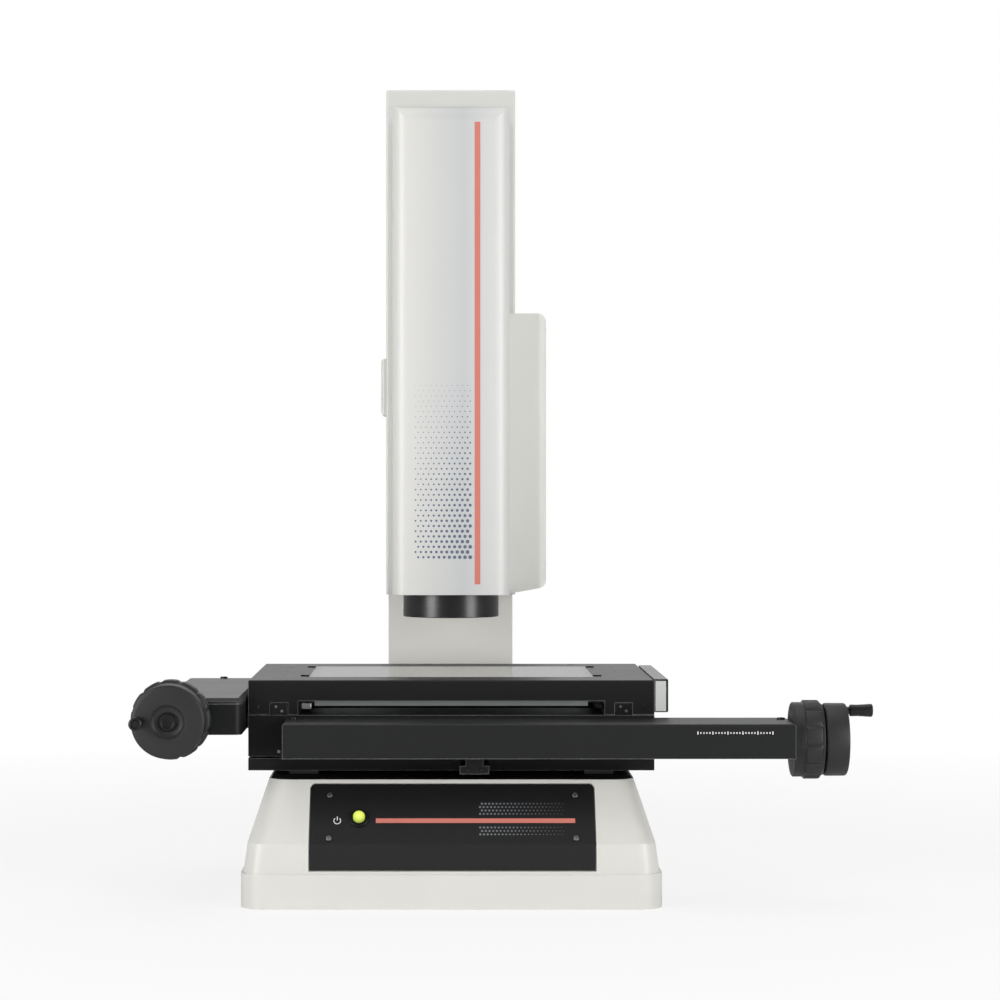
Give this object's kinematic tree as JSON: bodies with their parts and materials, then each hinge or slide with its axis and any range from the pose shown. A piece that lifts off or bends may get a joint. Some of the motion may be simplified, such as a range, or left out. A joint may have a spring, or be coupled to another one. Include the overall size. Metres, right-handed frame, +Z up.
{
  "type": "optical measuring machine",
  "caption": "Bench optical measuring machine: crossed slide stage with glass and two crank handwheels, and a zoom-lens head that rises on a column.",
  "frame": {"origin": "on the bench plane, straight below the optical axis", "axes": "+X to the right as seen by the user, +Y to the back, +Z up along the optical axis"},
  "size_m": [0.6246, 0.7665, 0.722],
  "materials": {
    "white_paint": "fine semi-gloss stove enamel",
    "pale_grey_paint": "fine semi-gloss stove enamel",
    "cover_paint": "semi-gloss enamel on sheet metal",
    "black_anodised": "fine satin black anodising",
    "black_panel": "smooth black satin film",
    "dark_grey_plastic": "moulded, fine texture",
    "black_plastic": "smooth",
    "black_barrel": "gloss black",
    "ground_steel": "ground",
    "plated_screw": "plated",
    "bare_aluminium": "milled",
    "brass_nut": "turned",
    "stage_glass": "clear, polished",
    "lens_glass": "coated lens glass",
    "lit_button": "translucent, lit",
    "cast_column": "painted light grey"
  },
  "bodies": {
    "base": {"base_plinth": "white_paint", "bottom_plate": "ground_steel", "base_casting": "white_paint", "base_top_plate": "black_anodised", "backlight_window": "lens_glass", "backlight_lamp": "bare_aluminium", "power_supply": "bare_aluminium", "power_inlet": "black_plastic", "front_panel": "black_panel", "panel_screws": "plated_screw", "power_bezel": "black_plastic", "stage_seats": "bare_aluminium", "stage_base_plate": "black_anodised", "x_guide_rails": "ground_steel", "x_feed_nut": "black_anodised", "column_casting": "cast_column", "column_housing": "pale_grey_paint", "rear_cover": "pale_grey_paint", "side_cover": "pale_grey_paint", "port_cover": "pale_grey_paint", "z_guide_rails": "ground_steel", "z_bearings": "ground_steel", "z_motor": "dark_grey_plastic"},
    "power_switch": {"power_button": "lit_button"},
    "lift_screw": {"z_screw": "ground_steel"},
    "head": {"head_carriage": "bare_aluminium", "head_cover": "cover_paint", "z_guide_blocks": "ground_steel", "z_nut": "brass_nut", "objective_barrel": "black_barrel", "front_lens": "lens_glass", "zoom_tube": "black_anodised", "camera": "dark_grey_plastic"},
    "x_carriage": {"x_carriage_frame": "black_anodised", "x_guide_blocks": "ground_steel", "y_guide_rails": "ground_steel", "x_drive_housing": "black_anodised", "x_drive_bearings": "ground_steel", "y_drive_housing": "black_anodised", "y_drive_lid": "black_anodised", "y_drive_bearings": "ground_steel", "drive_screws": "plated_screw"},
    "table": {"stage_table": "black_anodised", "y_guide_blocks": "ground_steel", "table_screws": "plated_screw", "stage_glass": "stage_glass", "front_bar": "bare_aluminium", "y_scale_housing": "black_anodised", "y_feed_nut": "black_anodised"},
    "x_ring": {"x_release_ring": "dark_grey_plastic"},
    "y_ring": {"y_release_ring": "dark_grey_plastic"},
    "x_wheel": {"x_handwheel": "dark_grey_plastic", "x_feed_screw": "ground_steel", "x_crank_pin": "ground_steel"},
    "y_wheel": {"y_handwheel": "dark_grey_plastic", "y_feed_screw": "ground_steel", "y_crank_pin": "ground_steel"},
    "x_knob": {"x_crank_knob": "black_plastic"},
    "y_knob": {"y_crank_knob": "black_plastic"}
  },
  "joints": [
    {"name": "x_slide", "type": "slide", "parent": "base", "child": "x_carriage", "axis": [1, 0, 0], "range_m": [-0.1, 0.1]},
    {"name": "y_slide", "type": "slide", "parent": "x_carriage", "child": "table", "axis": [0, 1, 0], "range_m": [-0.05, 0.05]},
    {"name": "z_slide", "type": "slide", "parent": "base", "child": "head", "axis": [0, 0, 1], "range_m": [0, 0.15]},
    {"name": "x_wheel_turn", "type": "hinge", "parent": "x_carriage", "child": "x_wheel", "pos_m": [0.2877, -0.157, 0.138], "axis": [1, 0, 0], "range_deg": [-7200, 7200]},
    {"name": "y_wheel_turn", "type": "hinge", "parent": "x_carriage", "child": "y_wheel", "pos_m": [-0.2345, -0.173, 0.1575], "axis": [0, -1, 0], "range_deg": [-3600, 3600]},
    {"name": "z_screw_turn", "type": "hinge", "parent": "base", "child": "lift_screw", "pos_m": [0, 0.111, 0.5], "axis": [0, 0, 1], "range_deg": [0, 10800]},
    {"name": "x_ring_turn", "type": "hinge", "parent": "x_carriage", "child": "x_ring", "pos_m": [0.2877, -0.157, 0.138], "axis": [1, 0, 0], "range_deg": [0, 40]},
    {"name": "y_ring_turn", "type": "hinge", "parent": "x_carriage", "child": "y_ring", "pos_m": [-0.2345, -0.173, 0.1575], "axis": [0, -1, 0], "range_deg": [0, 40]},
    {"name": "x_knob_spin", "type": "hinge", "parent": "x_wheel", "child": "x_knob", "pos_m": [0.3367, -0.157, 0.1625], "axis": [1, 0, 0], "continuous": true},
    {"name": "y_knob_spin", "type": "hinge", "parent": "y_wheel", "child": "y_knob", "pos_m": [-0.259, -0.222, 0.1575], "axis": [0, -1, 0], "continuous": true},
    {"name": "power_press", "type": "slide", "parent": "base", "child": "power_switch", "axis": [0, 0.8132, -0.582], "range_m": [0, 0.0025], "stiffness_N_per_m": 250, "springref_m": -0.003}
  ],
  "couplings": [
    {"joint": "x_wheel_turn", "follows": "x_slide", "rad_per_m": 1256.6},
    {"joint": "y_wheel_turn", "follows": "y_slide", "rad_per_m": 1256.6},
    {"joint": "z_screw_turn", "follows": "z_slide", "rad_per_m": 1256.6}
  ]
}
